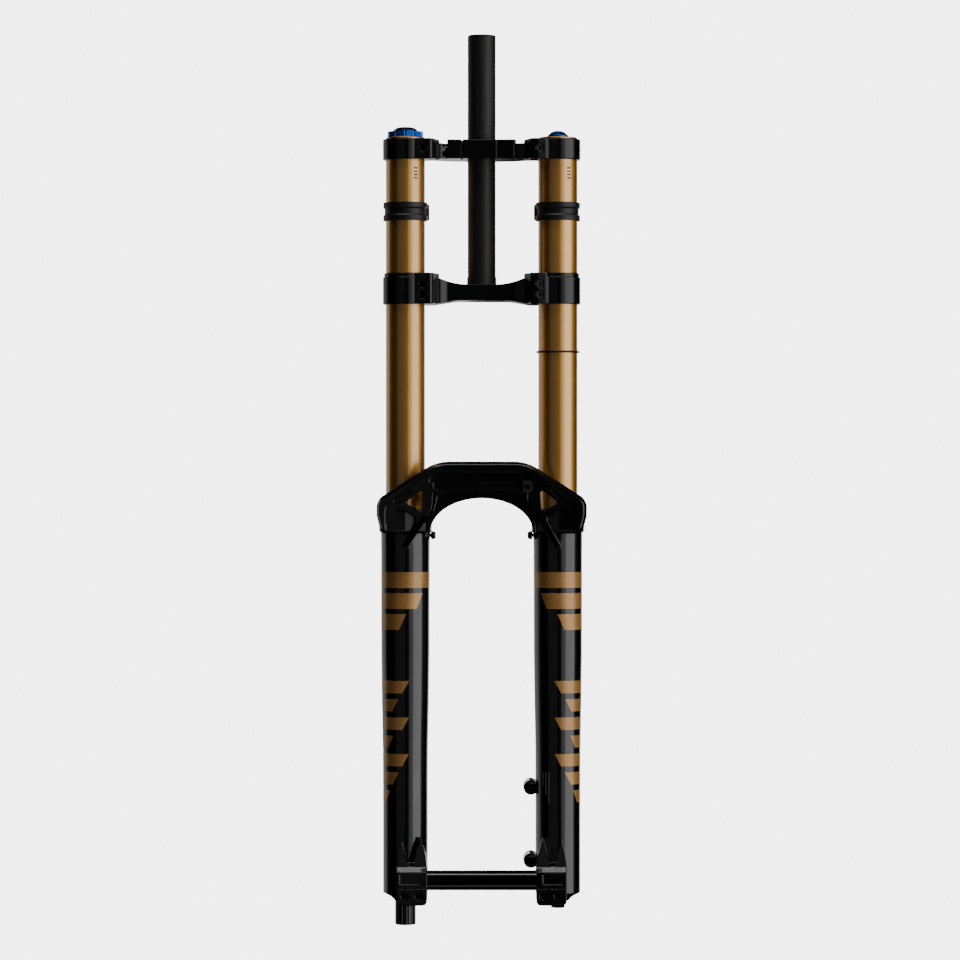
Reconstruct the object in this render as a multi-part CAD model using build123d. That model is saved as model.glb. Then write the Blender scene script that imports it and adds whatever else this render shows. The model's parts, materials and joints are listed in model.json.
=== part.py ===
"""Dual-crown suspension fork for a downhill bicycle, one STEP file per sub-part.

Frame: the origin is the crown race seat on the steerer's axis, +Z runs up the steerer,
-Y faces the way the bicycle rides, and +X is the rider's left. All sizes are millimetres.
The damper is in the leg at -X and the air spring in the leg at +X.
"""
from build123d import *
import os
from math import cos, radians, sin, tan

# Overall layout
STANCHION_SPACING = 155.0     # between the two leg axes
CROWN_OFFSET = 19.0           # leg axes ahead of the steerer's axis
DROPOUT_OFFSET = 33.0         # axle ahead of the leg axes
AXLE_TO_CROWN = 602.7
TRAVEL = 203.0
HUB_GAP = 110.0               # between the dropouts' inner faces

# Tubes
STEERER_D = 28.6
STEERER_WALL = 2.8
STEERER_TOP = 255.0
STEERER_MARK_H = 1.4          # scribed ring above the crown: a stem clamps above it
STEERER_MARK_DEPTH = 0.25
RACE_SEAT_STEP = 0.7          # the seat stands out from the steerer by this much all round
RACE_SEAT_H = 8.0
STANCHION_D = 40.0
STANCHION_WALL = 2.0
STANCHION_TOP = 146.0
AXLE_D = 20.0
AXLE_WALL = 3.0

# Crowns
CROWN_RING_WALL = 3.0
UPPER_CROWN_LOW = 126.0
UPPER_CROWN_H = 21.0
UPPER_ARM_H = 15.7
UPPER_BLOCK_H = 19.4
UPPER_BLOCK_W = 70.0
LOWER_CROWN_H = 31.6
LOWER_CROWN_RISE = 10.9       # ring tops above the race seat
LOWER_BRIDGE_H = 16.3
CLAMP_TURN = 17.8             # the clamps' bolts lean this far from straight ahead, degrees
CLAMP_SLIT = 2.0
CLAMP_BOLT_D = 5.0
CLAMP_BOLT_WALL = 2.0         # between a clamp bolt and the stanchion it squeezes
STEERER_BOLT_D = 5.0

# Lower legs
BOTTOM_OUT_GAP = 4.9          # left between the wipers and the lower crown at full travel
BUSHING_WALL = 1.4            # from the stanchion to the leg's bore, running gap included
LEG_LOW_GAP = 0.8             # from the stanchion to the leg's lower bore
COLLAR_WALL = 5.5
COLLAR_H = 20.0
LEG_WALL_TOP = 3.4
LEG_WALL_LOW = 2.0
LEG_FLOOR = 36.3              # solid foot under the bore
FLOOR_GAP = 7.0               # left under the stanchions at full travel
FOOT_HOLE_D = 11.0
ARCH_RISE = 48.2              # top of the arch above the wipers
ARCH_CROWN_GAP = 1.5          # arch passes ahead of the crown by this much at full travel
ARCH_DEPTH = 18.5
ARCH_OVERHANG = 28.5          # the arch's ends stand outside the leg axes by this much

# Dropouts and brake
DROPOUT_W = 30.5
DROPOUT_FRONT_WALL = 4.0
DROPOUT_TOP_WALL = -0.8       # the block's shoulder sits this far above the axle's top
DROPOUT_LOW_WALL = 14.5
DROPOUT_SLIT = 1.5
AXLE_BOLT_D = 5.0
BRAKE_BOLT_SPACING = 74.2
BRAKE_BOLT_D = 6.0
BRAKE_LOW_ABOVE_AXLE = 17.1
BRAKE_POST_INBOARD = 27.5     # brake bolts inboard of the leg's axis
BRAKE_FACE_BEHIND_AXLE = 64.0
BRAKE_POST_R = 7.5

# Inner pieces
SHAFT_D_DAMPER = 12.0
SHAFT_D_AIR = 10.0
SHAFT_FOOT_H = 5.0            # swell at the foot of the damper shaft
CARTRIDGE_GAP = 3.0           # oil space between the cartridge and the stanchion's bore
CARTRIDGE_WALL = 1.4
SEAL_HEAD_H = 16.0
BUSHING_H = 23.0
WIPER_WALL = 3.9              # from the stanchion out to the wiper's seat

# Fits
RUNNING = 0.05                # radial gap of a shaft, bushing or axle that runs
LIP_GAP = 0.15                # radial gap at a soft lip or ring
FREE_GAP = 0.3                # gap between pieces that pass each other

# Worked out from the sizes above
LEG_X = STANCHION_SPACING / 2
LEG_Y = -CROWN_OFFSET
AXLE_Y = LEG_Y - DROPOUT_OFFSET
AXLE_Z = -AXLE_TO_CROWN
STANCHION_R = STANCHION_D / 2
BORE_R = STANCHION_R - STANCHION_WALL
CARTRIDGE_R = BORE_R - CARTRIDGE_GAP
CARTRIDGE_BORE_R = CARTRIDGE_R - CARTRIDGE_WALL
STEERER_R = STEERER_D / 2
RACE_SEAT_R = STEERER_R + RACE_SEAT_STEP
LEG_BORE_R = STANCHION_R + BUSHING_WALL
LEG_LOW_BORE_R = STANCHION_R + LEG_LOW_GAP
WIPER_SEAT_R = STANCHION_R + WIPER_WALL
EXPOSED = TRAVEL + BOTTOM_OUT_GAP
ARCH_HALF_W = LEG_X + ARCH_OVERHANG
RING_R = STANCHION_R + CROWN_RING_WALL
LOWER_CROWN_LOW = LOWER_CROWN_RISE - LOWER_CROWN_H
WIPER_TOP = LOWER_CROWN_LOW - EXPOSED
COLLAR_TOP = WIPER_TOP - 2.4
COLLAR_R = LEG_BORE_R + COLLAR_WALL
LEG_TOP_R = LEG_BORE_R + LEG_WALL_TOP
LEG_LOW_R = LEG_LOW_BORE_R + LEG_WALL_LOW
LEG_BOTTOM = AXLE_Z - 23.6
FLOOR_Z = LEG_BOTTOM + LEG_FLOOR
STANCHION_LOW = FLOOR_Z + TRAVEL + FLOOR_GAP
ARCH_TOP = WIPER_TOP + ARCH_RISE
ARCH_BACK = LEG_Y - RING_R - ARCH_CROWN_GAP
ARCH_FRONT = ARCH_BACK - ARCH_DEPTH
CLAMP_BOLT_OUT = STANCHION_R + CLAMP_BOLT_D / 2 + CLAMP_BOLT_WALL
HEAD_LOW = STANCHION_LOW + 2.0
HEAD_TOP = HEAD_LOW + SEAL_HEAD_H
BOTH = (Align.CENTER, Align.CENTER, Align.MIN)


# ---------------------------------------------------------------- building blocks

def rod(radius, low, high, x=0.0, y=0.0):
    """Round bar along Z."""
    return Pos(x, y, low) * Cylinder(radius, high - low, align=BOTH)


def ring(outer, inner, low, high, x=0.0, y=0.0):
    """Plain tube along Z."""
    return rod(outer, low, high, x, y) - rod(inner, low - 1, high + 1, x, y)


def rod_x(radius, start, end, y, z):
    """Round bar along X."""
    return Pos(start, y, z) * Rot(Y=90) * Cylinder(radius, end - start, align=BOTH)


def rod_y(radius, start, end, x, z):
    """Round bar along Y."""
    return Pos(x, start, z) * Rot(X=-90) * Cylinder(radius, end - start, align=BOTH)


def box(x_low, x_high, y_low, y_high, z_low, z_high):
    """Box between two corners."""
    size = (x_high - x_low, y_high - y_low, z_high - z_low)
    return Pos(x_low, y_low, z_low) * Box(*size, align=(Align.MIN,) * 3)


def lathe(points, x=0.0, y=0.0):
    """Solid of revolution about a vertical axis from (radius, height) points."""
    face = Plane.XZ * make_face(Polyline(*points, close=True))
    return Pos(x, y, 0) * revolve(face, Axis.Z)


def outline(points, radii):
    """Closed outline whose corners have one radius or a list of them; a short side limits its corners."""
    corners = [Vector(*point) for point in points]
    count = len(corners)
    if not isinstance(radii, list):
        radii = [radii] * count
    arcs, ends = [], []
    for i, here in enumerate(corners):
        back, ahead = corners[i - 1] - here, corners[(i + 1) % count] - here
        half = radians(back.get_angle(ahead)) / 2
        reach = min(radii[i] / tan(half), 0.48 * back.length, 0.48 * ahead.length)
        start, end = here + back.normalized() * reach, here + ahead.normalized() * reach
        ends.append((start, end))
        if reach > 0.01 and half < radians(89.7):
            middle = (back.normalized() + ahead.normalized()).normalized()
            arcs.append(ThreePointArc(start, here + middle * reach * (1 - sin(half)) / cos(half), end))
        elif reach > 0.01:
            arcs.append(Line(start, end))
    sides = [Line(ends[i][1], ends[(i + 1) % count][0]) for i in range(count)]
    return make_face(Wire([*arcs, *sides]))


def front_slab(points, y_back, y_front, radii=0, taper=0):
    """(x, z) outline given thickness from y_back forwards to y_front."""
    face = Pos(0, y_back, 0) * (Plane.XZ * outline(points, radii))
    return extrude(face, amount=y_back - y_front, dir=(0, -1, 0), taper=taper)


def plan_slab(points, low, high, radii=0, edge=0):
    """(x, y) outline given height from low up to high, its top and bottom edges chamfered by edge."""
    slab = extrude(Pos(0, 0, low) * outline(points, radii), amount=high - low)
    if edge:
        layers = slab.edges().group_by(Axis.Z)
        slab = chamfer(layers[0] + layers[-1], edge)
    return slab


def edged_rod(radius, low, high, x=0.0, y=0.0, edge=0.7):
    """Round bar along Z with both rims chamfered."""
    bar = rod(radius, low, high, x, y)
    return chamfer(bar.edges().filter_by(GeomType.CIRCLE), edge)


def side_slab(points, x_low, x_high):
    """(y, z) outline given width from x_low to x_high."""
    face = Pos(x_low, 0, 0) * (Plane.YZ * outline(points, 0))
    return extrude(face, amount=x_high - x_low, dir=(1, 0, 0))


def both_ways(points):
    """Right half of a symmetrical outline, completed with its mirror image."""
    return points + [(-x, v) for x, v in reversed(points)]


def mirrored(shape):
    """The same shape on the other side of the fork."""
    return mirror(shape, about=Plane.YZ)


def hexagon(across, low, high, x=0.0, y=0.0):
    """Hexagonal bar along Z, by its width across flats."""
    face = Pos(x, y, low) * RegularPolygon(across / 2, 6, major_radius=False)
    return extrude(face, amount=high - low, dir=(0, 0, 1))


def socket_bolt(head_d, head_h, shank_d, length, key):
    """Socket-head screw with its head's top at z = 0 and its shank down -Z."""
    head = rod(head_d / 2, -head_h, 0)
    head = chamfer(head.edges().sort_by(Axis.Z)[-1], 0.4)
    bolt = head + rod(shank_d / 2, -length, -head_h + 0.5)
    return bolt - hexagon(key, -head_h * 0.6, 1)


def save(shape, node):
    """Write one sub-part under its node's name."""
    export_step(shape, f"parts/{node}.step")


# ---------------------------------------------------------------- crowns

def in_clamp(shape, side):
    """Move a piece drawn about a right-hand clamp's axis onto the clamp of either leg."""
    placed = Pos(LEG_X, LEG_Y, 0) * Rot(Z=CLAMP_TURN) * shape
    return placed if side > 0 else mirrored(placed)


def clamp_jaw(low, high):
    """Ears beside one stanchion that the clamp bolts draw together."""
    inner = CLAMP_BOLT_OUT + CLAMP_BOLT_D / 2 + 6.0
    ears = [(-inner, -14.5), (-inner + 14, -17), (-8, -17), (-8, 15), (-inner, 13)]
    return plan_slab(ears, low, high, [5.0, 3.0, 1.0, 1.0, 4.0], EDGE)


def clamp_bolt_axis(depth, z):
    """Where a clamp bolt's head sits, drawn about the clamp's axis and pointing back."""
    return Pos(-CLAMP_BOLT_OUT, depth, z) * Rot(X=90)


CLAMP_BOLT_DEPTH = -15.2
CLAMP_BOLT_LENGTH = 27.0
CLAMP_HEAD_D = 8.4
CLAMP_HEAD_H = 5.0


def clamp_cuts(low, high, bolt_heights):
    """Slit, bolt holes and head pockets of one clamp."""
    slit = box(-60, -STANCHION_R + 2, -CLAMP_SLIT / 2, CLAMP_SLIT / 2, low - 1, high + 1)
    cuts = slit
    for z in bolt_heights:
        axis = clamp_bolt_axis(CLAMP_BOLT_DEPTH, z)
        cuts += axis * rod(CLAMP_BOLT_D / 2, -CLAMP_BOLT_LENGTH, 0)
        cuts += axis * rod(CLAMP_HEAD_D / 2, -CLAMP_HEAD_H, 12)
    return cuts


def clamp_bolts(bolt_heights):
    """Pinch bolts of both clamps of one crown."""
    one = socket_bolt(CLAMP_HEAD_D, CLAMP_HEAD_H, CLAMP_BOLT_D, CLAMP_BOLT_LENGTH, 4.0)
    placed = []
    for side in (-1, 1):
        placed += [in_clamp(clamp_bolt_axis(CLAMP_BOLT_DEPTH, z) * one, side) for z in bolt_heights]
    return Compound(placed)


UPPER_BOLTS = [UPPER_CROWN_LOW + UPPER_CROWN_H / 2 + 0.5]
LOWER_BOLTS = [LOWER_CROWN_LOW + LOWER_CROWN_H / 2 + 4.4 - 11.0 * i for i in range(2)]
BLOCK_LOW = UPPER_CROWN_LOW + 1.8
BLOCK_TOP = BLOCK_LOW + UPPER_BLOCK_H
BLOCK_FRONT = -STEERER_R - 9.5
STEERER_SLIT_X = -20.0
STEERER_BOLT_Y = -STEERER_R - STEERER_BOLT_D / 2 - 1.0
STEERER_HEAD_D = 7.2
ARM_FRONT = BLOCK_FRONT + 4.5
SIDE_FRONT = BLOCK_FRONT + 1.0
STEM_HOLES_X = (-26.0, 26.0)
STEM_HOLES_Y = (-9.0, 13.0)
STEM_HOLE_R = 2.5
EDGE = 0.7                    # chamfer on the crowns' edges


def clamp_rings(low, high):
    """The two rings round the stanchions with their ears, trimmed level with the rings' fronts."""
    shape = edged_rod(RING_R, low, high, LEG_X, LEG_Y, EDGE) + in_clamp(clamp_jaw(low, high), 1)
    shape += mirrored(shape)
    span = LEG_X + RING_R
    return shape & box(-span, span, LEG_Y - RING_R, LEG_Y + RING_R, low, high)


def cut_clamps(shape, low, high, bolt_heights):
    """Bore, slit and bolt holes at both stanchions."""
    for side in (-1, 1):
        shape -= rod(STANCHION_R, low - 1, high + 1, side * LEG_X, LEG_Y)
        shape -= in_clamp(clamp_cuts(low, high, bolt_heights), side)
    return shape


def arm_plan(rear):
    """Plan of the bridge behind the clamps, from the steerer out to the stanchions."""
    half = UPPER_BLOCK_W / 2
    right = [
        (half - 14, ARM_FRONT), (half, ARM_FRONT), (half + 7, LEG_Y - 3),
        (LEG_X - STANCHION_R, LEG_Y - 4), (LEG_X, LEG_Y + 6), (LEG_X, LEG_Y + RING_R),
        (LEG_X - 22, LEG_Y + RING_R + 2), (30, rear - 3), (14, rear),
    ]
    return both_ways(right), [4.0, 6.0, 5.0, 2.0, 2.0, 2.0, 12.0, 12.0, 4.0]


def upper_crown():
    """Upper crown: two stanchion clamps and a split clamp round the steerer."""
    top = UPPER_CROWN_LOW + UPPER_CROWN_H
    shape = clamp_rings(UPPER_CROWN_LOW, top)
    points, radii = arm_plan(STEERER_R + 9)
    shape += plan_slab(points, BLOCK_LOW, BLOCK_LOW + UPPER_ARM_H, radii + radii[::-1], EDGE)
    half = UPPER_BLOCK_W / 2
    block = [
        (-half, SIDE_FRONT), (half, SIDE_FRONT), (half, 4), (22, STEERER_R + 9), (-22, STEERER_R + 9), (-half, 4),
    ]
    shape += plan_slab(block, BLOCK_LOW, BLOCK_TOP, [1.5, 3, 6, 8, 8, 6], EDGE)
    nose = [(-18, BLOCK_FRONT), (15, BLOCK_FRONT), (16, SIDE_FRONT + 3), (-18, SIDE_FRONT + 3)]
    shape += plan_slab(nose, BLOCK_LOW, BLOCK_TOP, [0.8, 0.8, 0, 0], EDGE)
    shape = cut_clamps(shape, UPPER_CROWN_LOW, top, UPPER_BOLTS)
    shape -= rod(STEERER_R, BLOCK_LOW - 1, BLOCK_TOP + 1)
    slit_x = (STEERER_SLIT_X - 0.7, STEERER_SLIT_X + 0.7)
    shape -= box(*slit_x, BLOCK_FRONT - 1, -6.0, BLOCK_LOW - 1, BLOCK_TOP + 1)
    shape -= box(slit_x[0], -STEERER_R + 3, -7.4, -6.0, BLOCK_LOW - 1, BLOCK_TOP + 1)
    for z in steerer_bolt_heights():
        shape -= rod_x(STEERER_BOLT_D / 2, -40, -4, STEERER_BOLT_Y, z)
        shape -= rod_x(STEERER_HEAD_D / 2 + 0.1, -40, -28, STEERER_BOLT_Y, z)
    for x in STEM_HOLES_X:
        for y in STEM_HOLES_Y:
            shape -= rod(STEM_HOLE_R, BLOCK_TOP - 12, BLOCK_TOP + 1, x, y)
    return shape


def steerer_bolt_heights():
    """Heights of the two bolts that close the upper crown on the steerer."""
    middle = (BLOCK_LOW + BLOCK_TOP) / 2
    return [middle - 4.7, middle + 4.7]


def steerer_pinch_bolts():
    """Two bolts across the upper crown's front slit."""
    one = socket_bolt(STEERER_HEAD_D, 4.5, STEERER_BOLT_D, 24.0, 4.0)
    place = Rot(Y=-90)
    return Compound([Pos(-28, STEERER_BOLT_Y, z) * place * Pos(0, 0, 4.5) * one
                     for z in steerer_bolt_heights()])


def lower_crown():
    """Lower crown: a bridge that dips to the race seat between two tall clamps."""
    low, high = LOWER_CROWN_LOW, LOWER_CROWN_RISE
    shape = clamp_rings(low, high)
    points, radii = arm_plan(STEERER_R + 12)
    span = LEG_X + RING_R
    profile = both_ways([
        (27.0, -LOWER_BRIDGE_H), (LEG_X - 27.5, low), (span, low), (span, high), (LEG_X - 21.5, high), (26.0, 0.0),
    ])
    half_radii = [60.0, 20.0, 0.5, 0.5, 26.0, 70.0]
    bridge = front_slab(profile, 60, -60, half_radii + half_radii[::-1])
    shape += plan_slab(points, low, high, radii + radii[::-1]) & bridge
    shape = cut_clamps(shape, low, high, LOWER_BOLTS)
    for side in (-1, 1):
        ledge = ring(RING_R + 1, RING_R - 1.2, high - 4.2, high + 1, side * LEG_X, LEG_Y)
        shape -= ledge & box(side * LEG_X - 24, side * LEG_X + 24, LEG_Y - 24, LEG_Y + 10, low, high + 1)
    return shape - rod(RACE_SEAT_R, low - 1, high + 1)


def steerer_tube():
    """Straight steerer, swelled at its foot where the crown race sits and the crown grips it."""
    outer = rod(STEERER_R, 0, STEERER_TOP) + rod(RACE_SEAT_R, -LOWER_BRIDGE_H, RACE_SEAT_H)
    rim = outer.edges().filter_by(GeomType.CIRCLE).group_by(Axis.Z)[-1]
    mark = BLOCK_TOP + 0.8
    outer = chamfer(rim, 0.8) - ring(STEERER_R + 1, STEERER_R - STEERER_MARK_DEPTH, mark, mark + STEERER_MARK_H)
    return outer - rod(STEERER_R - STEERER_WALL, -LOWER_BRIDGE_H - 1, STEERER_TOP + 1)


# ---------------------------------------------------------------- stanchions and their tops

CAP_FLANGE_H = 3.0
PLUG_H = 16.0
CAP_TOP = STANCHION_TOP + CAP_FLANGE_H
PLUG_LOW = STANCHION_TOP - PLUG_H
RING_KNOB_R = 18.5
RING_KNOB_H = 5.8
DOME_R = 12.25
DOME_H = 4.6
HUB_R = 10.4
VALVE_CAP_R = 11.0
VALVE_CAP_H = 6.6


def stanchion(x):
    """One stanchion tube."""
    return ring(STANCHION_R, BORE_R, STANCHION_LOW, STANCHION_TOP, x, LEG_Y)


def damper_top_cap():
    """Threaded cap over the damper, with the hub the ring knob turns on."""
    cap = rod(STANCHION_R - 0.1, STANCHION_TOP, CAP_TOP, -LEG_X, LEG_Y)
    cap = chamfer(cap.edges().sort_by(Axis.Z)[-1], 0.6)
    cap += rod(BORE_R, PLUG_LOW, STANCHION_TOP, -LEG_X, LEG_Y)
    cap += rod(HUB_R, CAP_TOP, CAP_TOP + RING_KNOB_H - 1.0, -LEG_X, LEG_Y)
    return cap - rod(3.0 + FREE_GAP, CAP_TOP - 8, CAP_TOP + RING_KNOB_H, -LEG_X, LEG_Y)


def high_speed_compression_ring():
    """Twelve-sided ring knob with a finger notch at each corner."""
    low = CAP_TOP + 0.2
    high = low + RING_KNOB_H
    face = Pos(-LEG_X, LEG_Y, low) * RegularPolygon(RING_KNOB_R, 12)
    knob = extrude(face, amount=high - low, dir=(0, 0, 1))
    for i in range(12):
        angle = radians(30 * i)
        knob -= rod(1.6, low - 1, high + 1,
                    -LEG_X + (RING_KNOB_R + 0.5) * cos(angle), LEG_Y + (RING_KNOB_R + 0.5) * sin(angle))
    return knob - rod(HUB_R + FREE_GAP, low - 1, high + 1, -LEG_X, LEG_Y)


def low_speed_compression_dome():
    """Low round knob over the ring knob's middle."""
    low = CAP_TOP + 0.2 + RING_KNOB_H + 0.3
    dome = lathe([(0, low), (DOME_R, low), (DOME_R, low + 1.2), (DOME_R * 0.8, low + 3.4),
                  (DOME_R * 0.45, low + DOME_H - 0.2), (0, low + DOME_H)], -LEG_X, LEG_Y)
    return dome + rod(3.0, CAP_TOP - 6, low + 1, -LEG_X, LEG_Y)


def air_top_cap():
    """Threaded cap over the air spring, with the boss its valve cap covers."""
    cap = rod(STANCHION_R - 0.4, STANCHION_TOP, CAP_TOP, LEG_X, LEG_Y)
    cap = chamfer(cap.edges().sort_by(Axis.Z)[-1], 0.6)
    cap += rod(BORE_R, PLUG_LOW, STANCHION_TOP, LEG_X, LEG_Y)
    cap += rod(6.8, CAP_TOP, CAP_TOP + 2.2, LEG_X, LEG_Y)
    return cap - rod(3.9, PLUG_LOW - 1, CAP_TOP + 3, LEG_X, LEG_Y)


def air_valve():
    """Hollow brass valve stem through the air cap."""
    return ring(3.9, 1.4, PLUG_LOW, CAP_TOP + 4.4, LEG_X, LEG_Y)


def air_valve_cap():
    """Domed cap over the valve."""
    low = CAP_TOP + 0.2
    cap = lathe([(0, low), (VALVE_CAP_R, low), (VALVE_CAP_R, low + 1.6), (VALVE_CAP_R * 0.86, low + 3.0),
                 (VALVE_CAP_R * 0.6, low + 5.4), (VALVE_CAP_R * 0.3, low + VALVE_CAP_H),
                 (0, low + VALVE_CAP_H)], LEG_X, LEG_Y)
    return cap - rod(6.8 + FREE_GAP, low - 1, CAP_TOP + 4.4 + FREE_GAP, LEG_X, LEG_Y)


def frame_bumper(side):
    """Rubber band round a stanchion, ridged at both ends, with a pad that meets the frame."""
    low, high = 64.3, 82.6
    middle = (low + high) / 2
    x = side * LEG_X
    outer_r = STANCHION_R + 2.6
    band = lathe([
        (STANCHION_R, low), (outer_r, low), (outer_r, low + 5), (outer_r - 1.4, low + 6.5),
        (outer_r - 1.4, high - 6.5), (outer_r, high - 5), (outer_r, high), (STANCHION_R, high),
    ], x, LEG_Y)
    pad = [(-STANCHION_R - 4.3, 2), (-STANCHION_R - 4.3, 12), (-12, 25), (4, 25), (8, 10), (-8, 2)]
    block = plan_slab(pad, low + 1.5, high - 1.5, [2, 5, 5, 3, 2, 2])
    block -= box(-40, 40, 14, 40, middle - 1.5, middle + 1.5)
    block -= rod(STANCHION_R, low - 1, high + 1)
    block = Pos(LEG_X, LEG_Y, 0) * block
    return band + (block if side > 0 else mirrored(block))


def travel_o_ring():
    """Rubber ring on the air stanchion that shows how far the fork has moved."""
    wire_r = 1.0
    return Pos(LEG_X, LEG_Y, O_RING_Z) * Torus(STANCHION_R + wire_r + LIP_GAP, wire_r)


O_RING_Z = LOWER_CROWN_LOW - 48.2


# ---------------------------------------------------------------- inner pieces

def damper_cartridge_tube():
    """Inner tube that holds the damping oil."""
    return ring(CARTRIDGE_R, CARTRIDGE_BORE_R, HEAD_TOP, PLUG_LOW, -LEG_X, LEG_Y)


def compression_valve():
    """Valve body at the top of the cartridge tube."""
    low = PLUG_LOW - 34
    body = rod(CARTRIDGE_BORE_R, low, PLUG_LOW, -LEG_X, LEG_Y)
    for z in (low + 8, low + 18):
        body -= ring(CARTRIDGE_BORE_R + 1, CARTRIDGE_BORE_R - 1.6, z, z + 3, -LEG_X, LEG_Y)
    return body


def damper_seal_head():
    """Head at the foot of the damper's stanchion that guides the damper shaft."""
    head = rod(BORE_R, HEAD_LOW, HEAD_TOP, -LEG_X, LEG_Y)
    head += rod(CARTRIDGE_BORE_R, HEAD_TOP, HEAD_TOP + 8, -LEG_X, LEG_Y)
    return head - rod(SHAFT_D_DAMPER / 2 + RUNNING, HEAD_LOW - 1, HEAD_TOP + 9, -LEG_X, LEG_Y)


def air_seal_head():
    """Head at the foot of the air stanchion that guides the air shaft."""
    head = rod(BORE_R, HEAD_LOW, HEAD_TOP + 4, LEG_X, LEG_Y)
    head -= ring(BORE_R + 1, BORE_R - 2, HEAD_LOW + 8, HEAD_LOW + 11, LEG_X, LEG_Y)
    return head - rod(SHAFT_D_AIR / 2 + RUNNING, HEAD_LOW - 1, HEAD_TOP + 5, LEG_X, LEG_Y)


def retaining_rings():
    """Spring rings that hold both seal heads in."""
    return Compound([ring(BORE_R, BORE_R - 3, STANCHION_LOW, HEAD_LOW, side * LEG_X, LEG_Y)
                     for side in (-1, 1)])


def volume_spacers():
    """Three plastic spacers under the air cap."""
    height = 10.0
    stack = []
    for i in range(3):
        high = PLUG_LOW - i * height
        stack.append(ring(BORE_R - 3, 4.5, high - height, high, LEG_X, LEG_Y))
    return Compound(stack)


PISTON_LOW_DAMPER = HEAD_TOP + 8 + 6
PISTON_H = 16.0
PISTON_LOW_AIR = HEAD_TOP + 4 + 22
SHAFT_STUD_LOW = LEG_BOTTOM - 7.6


def damper_shaft():
    """Damper shaft, with a stud at its head for the piston and one at its foot for the nut."""
    x, y = -LEG_X, LEG_Y
    shaft = rod(SHAFT_D_DAMPER / 2, FLOOR_Z, PISTON_LOW_DAMPER, x, y) + rod(8.0, FLOOR_Z, FLOOR_Z + SHAFT_FOOT_H, x, y)
    shaft += rod(4.0, PISTON_LOW_DAMPER - 1, PISTON_LOW_DAMPER + PISTON_H + 6, x, y)
    shaft += rod(FOOT_HOLE_D / 2 - 0.5, SHAFT_STUD_LOW, FLOOR_Z + 1, x, y)
    shaft += rod(3.0, SHAFT_STUD_LOW - 7.0, SHAFT_STUD_LOW + 1, x, y)
    return shaft - rod(1.4 + FREE_GAP, SHAFT_STUD_LOW - 8, SHAFT_STUD_LOW + 6, x, y)


def damper_piston():
    """Ported piston on the damper shaft."""
    low, high = PISTON_LOW_DAMPER, PISTON_LOW_DAMPER + PISTON_H
    piston = ring(CARTRIDGE_BORE_R - 0.1, 4.0, low, high, -LEG_X, LEG_Y)
    for i in range(6):
        angle = radians(60 * i)
        piston -= rod(1.5, low - 1, high + 1, -LEG_X + 8.5 * cos(angle), LEG_Y + 8.5 * sin(angle))
    return piston


def air_shaft():
    """Air shaft, with a stud at its head for the piston and one at its foot for the nut."""
    shaft = rod(SHAFT_D_AIR / 2, FLOOR_Z, PISTON_LOW_AIR, LEG_X, LEG_Y)
    shaft += rod(3.0, PISTON_LOW_AIR - 1, PISTON_LOW_AIR + PISTON_H + 5, LEG_X, LEG_Y)
    return shaft + rod(3.5, LEG_BOTTOM - 6.6, FLOOR_Z + 1, LEG_X, LEG_Y)


def air_piston():
    """Piston of the air spring, grooved for its seal."""
    low, high = PISTON_LOW_AIR, PISTON_LOW_AIR + PISTON_H
    piston = ring(BORE_R - 0.1, 3.0, low, high, LEG_X, LEG_Y)
    return piston - ring(BORE_R + 1, BORE_R - 3, low + 6, low + 10, LEG_X, LEG_Y)


def air_piston_seal():
    """Rubber seal in the air piston's groove."""
    return ring(BORE_R - RUNNING, BORE_R - 3, PISTON_LOW_AIR + 6, PISTON_LOW_AIR + 10, LEG_X, LEG_Y)


def piston_nuts():
    """Nuts that hold both pistons on their shafts."""
    damper = hexagon(13, PISTON_LOW_DAMPER + PISTON_H, PISTON_LOW_DAMPER + PISTON_H + 5, -LEG_X, LEG_Y)
    damper -= rod(4.0, PISTON_LOW_DAMPER, PISTON_LOW_DAMPER + PISTON_H + 6, -LEG_X, LEG_Y)
    air = hexagon(10, PISTON_LOW_AIR + PISTON_H, PISTON_LOW_AIR + PISTON_H + 4, LEG_X, LEG_Y)
    air -= rod(3.0, PISTON_LOW_AIR, PISTON_LOW_AIR + PISTON_H + 5, LEG_X, LEG_Y)
    return Compound([damper, air])


def top_out_bumper():
    """Rubber stop on the air seal head that the air piston meets at full stretch."""
    low = HEAD_TOP + 4
    return ring(10.0, SHAFT_D_AIR / 2 + FREE_GAP, low, low + 18, LEG_X, LEG_Y)


def bottom_out_bumper():
    """Rubber stop on the air leg's floor."""
    return ring(16.0, SHAFT_D_AIR / 2, FLOOR_Z, FLOOR_Z + 5.5, LEG_X, LEG_Y)


# ---------------------------------------------------------------- lower legs

BUSHING_TOPS = (COLLAR_TOP - 21.0, STANCHION_LOW + 6.0 + BUSHING_H)
WIPER_DEPTH = 9.5
FOAM_H = 7.0
BLEEDER_Z = COLLAR_TOP - 24.0
BLEEDER_Y = LEG_Y - 8.0
BLEEDER_TIP = LEG_X - 31.0
BLEEDER_FACE = LEG_X - 24.4
BLEEDER_HOLE_R = 2.0


def bushings(top):
    """Pair of bushings that the stanchions run in."""
    return Compound([ring(LEG_BORE_R, STANCHION_R + RUNNING, top - BUSHING_H, top, side * LEG_X, LEG_Y)
                     for side in (-1, 1)])


def foam_rings():
    """Oil-soaked rings under the wipers."""
    high = COLLAR_TOP - WIPER_DEPTH
    return Compound([ring(WIPER_SEAT_R, STANCHION_R + LIP_GAP, high - FOAM_H, high, side * LEG_X, LEG_Y)
                     for side in (-1, 1)])


def garter(side):
    """Coil spring round one wiper's lip, as a plain ring."""
    return Pos(side * LEG_X, LEG_Y, WIPER_TOP - 1.1) * Torus(STANCHION_R + 2.2, 0.6)


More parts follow.
